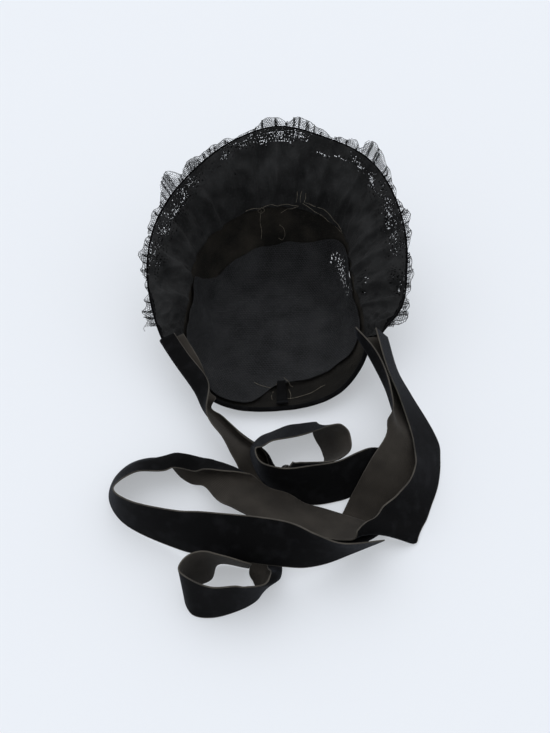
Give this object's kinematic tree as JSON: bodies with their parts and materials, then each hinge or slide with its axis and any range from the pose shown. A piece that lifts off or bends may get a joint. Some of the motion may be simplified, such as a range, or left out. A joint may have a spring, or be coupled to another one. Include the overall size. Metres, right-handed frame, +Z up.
{
  "type": "poke bonnet",
  "caption": "Black poke bonnet lying on its crown, with a wired flaring brim lined in gathered cloth, a net frill, a net-lined crown and long velvet ribbon ties laid out in loops.",
  "frame": {"origin": "on the floor under the middle of the crown tip's flat", "axes": "+Z up from the floor, +Y towards the top of the brim, +X to the right of someone who looks into the bonnet"},
  "size_m": [0.2683, 0.4419, 0.1348],
  "materials": {
    "crown_cloth": "matte stiffened cloth",
    "brim_cloth": "matte stiffened cloth",
    "gathered_cloth": "soft gathered cloth",
    "net": "fine open net",
    "net_lining": "net over cloth",
    "velvet": "velvet",
    "velvet_ribbon": "velvet with a plain brown back"
  },
  "bodies": {
    "root": {"crown_tip": "crown_cloth", "crown_side": "crown_cloth", "brim": "brim_cloth", "edge_wire": "velvet", "brim_ruche": "gathered_cloth", "net_frill": "net", "tip_lining": "net_lining", "nape_binding": "velvet", "back_tab": "velvet", "tie_left": "velvet_ribbon", "tie_right_lower": "velvet_ribbon", "tie_right_upper": "velvet_ribbon"}
  },
  "joints": []
}
